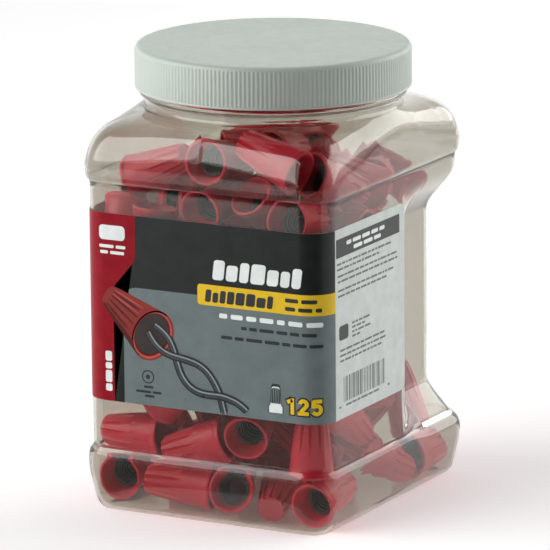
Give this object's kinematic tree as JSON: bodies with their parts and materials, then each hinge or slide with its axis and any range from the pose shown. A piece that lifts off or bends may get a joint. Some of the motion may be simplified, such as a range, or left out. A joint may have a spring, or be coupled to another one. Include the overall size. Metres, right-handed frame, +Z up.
{
  "type": "twist wire connector",
  "caption": "Clear square pinch-grip jar with a ribbed screw lid, filled with tapered twist-on wire connectors, each a fluted shell over a spring.",
  "frame": {"origin": "centre of the jar's base rectangle, on the surface it stands on", "axes": "+Z up along the neck and lid axis, -Y towards the front label face, X across the front; the hand grips are in the rear (+Y) half of the two sides"},
  "size_m": [0.1064, 0.1202, 0.1741],
  "materials": {
    "clear_pet": "clear gloss",
    "label_film": "printed satin film",
    "lid_white": "moulded satin",
    "liner_board": "matt",
    "red_shell": "moulded semi-gloss",
    "spring_steel": "drawn wire"
  },
  "bodies": {
    "jar": {"jar_body": "clear_pet", "wrap_label": "label_film", "connector_shells_01": "red_shell", "connector_shells_02": "red_shell", "connector_shells_03": "red_shell", "connector_shells_04": "red_shell", "connector_shells_05": "red_shell", "connector_shells_06": "red_shell", "connector_shells_07": "red_shell", "connector_shells_08": "red_shell", "connector_shells_09": "red_shell", "connector_shells_10": "red_shell", "connector_shells_11": "red_shell", "connector_shells_12": "red_shell", "connector_springs_01": "spring_steel", "connector_springs_02": "spring_steel", "connector_springs_03": "spring_steel", "connector_springs_04": "spring_steel", "connector_springs_05": "spring_steel", "connector_springs_06": "spring_steel", "connector_springs_07": "spring_steel", "connector_springs_08": "spring_steel", "connector_springs_09": "spring_steel", "connector_springs_10": "spring_steel", "connector_springs_11": "spring_steel", "connector_springs_12": "spring_steel"},
    "liner": {"lid_liner": "liner_board"},
    "lid": {"screw_lid": "lid_white"}
  },
  "joints": [
    {"name": "lid_lift", "type": "slide", "parent": "jar", "child": "liner", "axis": [0, 0, 1], "range_m": [0, 0.02052]},
    {"name": "lid_turn", "type": "hinge", "parent": "liner", "child": "lid", "pos_m": [0, 0, 0.166], "axis": [0, 0, 1], "range_deg": [0, 1440]}
  ],
  "couplings": [
    {"joint": "lid_lift", "follows": "lid_turn", "m_per_rad": 0.00080851}
  ]
}
